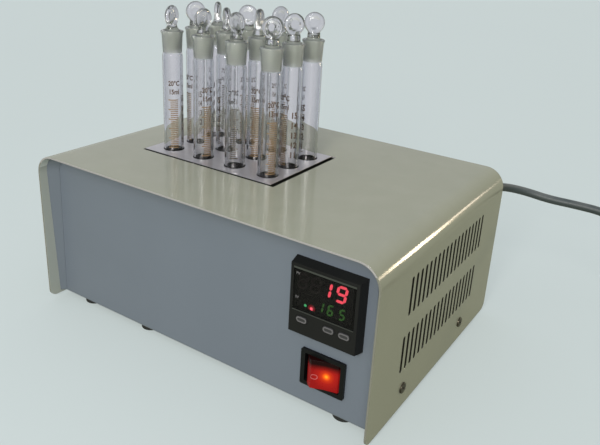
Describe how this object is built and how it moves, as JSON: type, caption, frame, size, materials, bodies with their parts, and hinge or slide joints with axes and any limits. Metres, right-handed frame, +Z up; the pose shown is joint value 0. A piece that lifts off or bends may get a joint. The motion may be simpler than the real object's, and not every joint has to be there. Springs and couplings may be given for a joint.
{
  "type": "chemical digestion reactor",
  "caption": "Benchtop chemical oxygen demand reactor: a heated block of stoppered glass tubes in a sheet-metal case with a digital temperature controller, rocker switch and mains lead.",
  "frame": {"origin": "on the table under the middle of the cover, midway between its ends and its front and rear edges", "axes": "+X to the right of the front panel, -Y out of the front panel towards the user, +Z up"},
  "size_m": [0.4816, 0.2802, 0.2286],
  "materials": {
    "cover_paint": "light grey semi-gloss paint on sheet steel",
    "panel_paint": "smooth grey-blue printed panel",
    "block_aluminium": "machined",
    "insulation_board": "pressed mineral fibre",
    "zinc_steel": "zinc plated",
    "foot_rubber": "moulded",
    "dark_screw": "blackened steel",
    "heater_steel": "drawn stainless sheath",
    "lead_sleeve": "silicone and glass-fibre sleeve",
    "tube_glass": "clear borosilicate with a ground neck and a printed scale",
    "stopper_glass": "clear with a ground plug",
    "bezel_plastic": "fine texture",
    "window_plastic": "smoked",
    "key_plastic": "with a printed grey outline",
    "switch_plastic": "moulded",
    "rocker_plastic": "translucent, lit from within",
    "plated_brass": "drawn, lightly plated",
    "sink_aluminium": "extruded, anodised",
    "relay_plastic": "moulded",
    "terminal_plastic": "moulded",
    "fuse_plastic": "moulded with sprung clips",
    "fuse_glass": "clear with metal end caps",
    "wire_sleeve": "coloured sleeves",
    "cord_pvc": "smooth sheath with a soft sheen",
    "tie_plastic": "flat tie"
  },
  "bodies": {
    "chassis": {"outer_cover": "cover_paint", "base_tray": "panel_paint", "heating_block": "block_aluminium", "insulation_jacket": "insulation_board", "block_housing": "zinc_steel", "housing_pillars": "zinc_steel", "base_screws": "zinc_steel", "rubber_feet": "foot_rubber", "cover_screws": "dark_screw", "cartridge_heaters": "heater_steel", "heater_leads": "lead_sleeve", "temperature_probe": "heater_steel", "controller_bezel": "bezel_plastic", "controller_window": "window_plastic", "controller_case": "bezel_plastic", "controller_clip": "bezel_plastic", "switch_housing": "switch_plastic", "switch_terminals": "plated_brass", "relay_heat_sink": "sink_aluminium", "solid_state_relay": "relay_plastic", "terminal_block": "terminal_plastic", "fuse_block": "fuse_plastic", "glass_fuse": "fuse_glass", "earth_stud": "zinc_steel", "internal_wiring": "wire_sleeve", "strain_relief": "cord_pvc", "mains_cord": "cord_pvc", "cord_coil": "cord_pvc", "cord_tail": "cord_pvc", "cord_tie": "tie_plastic", "plug_body": "cord_pvc", "plug_pins": "plated_brass"},
    "rocker_body": {"rocker": "rocker_plastic"},
    "set_key_body": {"set_key": "key_plastic"},
    "down_key_body": {"down_key": "key_plastic"},
    "up_key_body": {"up_key": "key_plastic"},
    "tube_1_body": {"tube_1": "tube_glass"},
    "stopper_1_body": {"stopper_1": "stopper_glass"},
    "tube_2_body": {"tube_2": "tube_glass"},
    "stopper_2_body": {"stopper_2": "stopper_glass"},
    "tube_3_body": {"tube_3": "tube_glass"},
    "stopper_3_body": {"stopper_3": "stopper_glass"},
    "tube_4_body": {"tube_4": "tube_glass"},
    "stopper_4_body": {"stopper_4": "stopper_glass"},
    "tube_5_body": {"tube_5": "tube_glass"},
    "stopper_5_body": {"stopper_5": "stopper_glass"},
    "tube_6_body": {"tube_6": "tube_glass"},
    "stopper_6_body": {"stopper_6": "stopper_glass"},
    "tube_7_body": {"tube_7": "tube_glass"},
    "stopper_7_body": {"stopper_7": "stopper_glass"},
    "tube_8_body": {"tube_8": "tube_glass"},
    "stopper_8_body": {"stopper_8": "stopper_glass"},
    "tube_9_body": {"tube_9": "tube_glass"},
    "stopper_9_body": {"stopper_9": "stopper_glass"},
    "tube_10_body": {"tube_10": "tube_glass"},
    "stopper_10_body": {"stopper_10": "stopper_glass"},
    "tube_11_body": {"tube_11": "tube_glass"},
    "stopper_11_body": {"stopper_11": "stopper_glass"},
    "tube_12_body": {"tube_12": "tube_glass"},
    "stopper_12_body": {"stopper_12": "stopper_glass"}
  },
  "joints": [
    {"name": "rocker_pivot", "type": "hinge", "parent": "chassis", "child": "rocker_body", "pos_m": [0.1019, -0.0825, 0.0319], "axis": [0, 0, 1], "range_deg": [-36, 0]},
    {"name": "set_key_press", "type": "slide", "parent": "chassis", "child": "set_key_body", "axis": [0, 1, 0], "range_m": [0, 0.0008], "stiffness_N_per_m": 400},
    {"name": "down_key_press", "type": "slide", "parent": "chassis", "child": "down_key_body", "axis": [0, 1, 0], "range_m": [0, 0.0008], "stiffness_N_per_m": 400},
    {"name": "up_key_press", "type": "slide", "parent": "chassis", "child": "up_key_body", "axis": [0, 1, 0], "range_m": [0, 0.0008], "stiffness_N_per_m": 400},
    {"name": "tube_1_lift", "type": "slide", "parent": "chassis", "child": "tube_1_body", "axis": [0, 0, 1], "range_m": [0, 0.09]},
    {"name": "stopper_1_lift", "type": "slide", "parent": "tube_1_body", "child": "stopper_1_body", "axis": [0, 0, 1], "range_m": [0, 0.03]},
    {"name": "tube_2_lift", "type": "slide", "parent": "chassis", "child": "tube_2_body", "axis": [0, 0, 1], "range_m": [0, 0.09]},
    {"name": "stopper_2_lift", "type": "slide", "parent": "tube_2_body", "child": "stopper_2_body", "axis": [0, 0, 1], "range_m": [0, 0.03]},
    {"name": "tube_3_lift", "type": "slide", "parent": "chassis", "child": "tube_3_body", "axis": [0, 0, 1], "range_m": [0, 0.09]},
    {"name": "stopper_3_lift", "type": "slide", "parent": "tube_3_body", "child": "stopper_3_body", "axis": [0, 0, 1], "range_m": [0, 0.03]},
    {"name": "tube_4_lift", "type": "slide", "parent": "chassis", "child": "tube_4_body", "axis": [0, 0, 1], "range_m": [0, 0.09]},
    {"name": "stopper_4_lift", "type": "slide", "parent": "tube_4_body", "child": "stopper_4_body", "axis": [0, 0, 1], "range_m": [0, 0.03]},
    {"name": "tube_5_lift", "type": "slide", "parent": "chassis", "child": "tube_5_body", "axis": [0, 0, 1], "range_m": [0, 0.09]},
    {"name": "stopper_5_lift", "type": "slide", "parent": "tube_5_body", "child": "stopper_5_body", "axis": [0, 0, 1], "range_m": [0, 0.03]},
    {"name": "tube_6_lift", "type": "slide", "parent": "chassis", "child": "tube_6_body", "axis": [0, 0, 1], "range_m": [0, 0.09]},
    {"name": "stopper_6_lift", "type": "slide", "parent": "tube_6_body", "child": "stopper_6_body", "axis": [0, 0, 1], "range_m": [0, 0.03]},
    {"name": "tube_7_lift", "type": "slide", "parent": "chassis", "child": "tube_7_body", "axis": [0, 0, 1], "range_m": [0, 0.09]},
    {"name": "stopper_7_lift", "type": "slide", "parent": "tube_7_body", "child": "stopper_7_body", "axis": [0, 0, 1], "range_m": [0, 0.03]},
    {"name": "tube_8_lift", "type": "slide", "parent": "chassis", "child": "tube_8_body", "axis": [0, 0, 1], "range_m": [0, 0.09]},
    {"name": "stopper_8_lift", "type": "slide", "parent": "tube_8_body", "child": "stopper_8_body", "axis": [0, 0, 1], "range_m": [0, 0.03]},
    {"name": "tube_9_lift", "type": "slide", "parent": "chassis", "child": "tube_9_body", "axis": [0, 0, 1], "range_m": [0, 0.09]},
    {"name": "stopper_9_lift", "type": "slide", "parent": "tube_9_body", "child": "stopper_9_body", "axis": [0, 0, 1], "range_m": [0, 0.03]},
    {"name": "tube_10_lift", "type": "slide", "parent": "chassis", "child": "tube_10_body", "axis": [0, 0, 1], "range_m": [0, 0.09]},
    {"name": "stopper_10_lift", "type": "slide", "parent": "tube_10_body", "child": "stopper_10_body", "axis": [0, 0, 1], "range_m": [0, 0.03]},
    {"name": "tube_11_lift", "type": "slide", "parent": "chassis", "child": "tube_11_body", "axis": [0, 0, 1], "range_m": [0, 0.09]},
    {"name": "stopper_11_lift", "type": "slide", "parent": "tube_11_body", "child": "stopper_11_body", "axis": [0, 0, 1], "range_m": [0, 0.03]},
    {"name": "tube_12_lift", "type": "slide", "parent": "chassis", "child": "tube_12_body", "axis": [0, 0, 1], "range_m": [0, 0.09]},
    {"name": "stopper_12_lift", "type": "slide", "parent": "tube_12_body", "child": "stopper_12_body", "axis": [0, 0, 1], "range_m": [0, 0.03]}
  ]
}
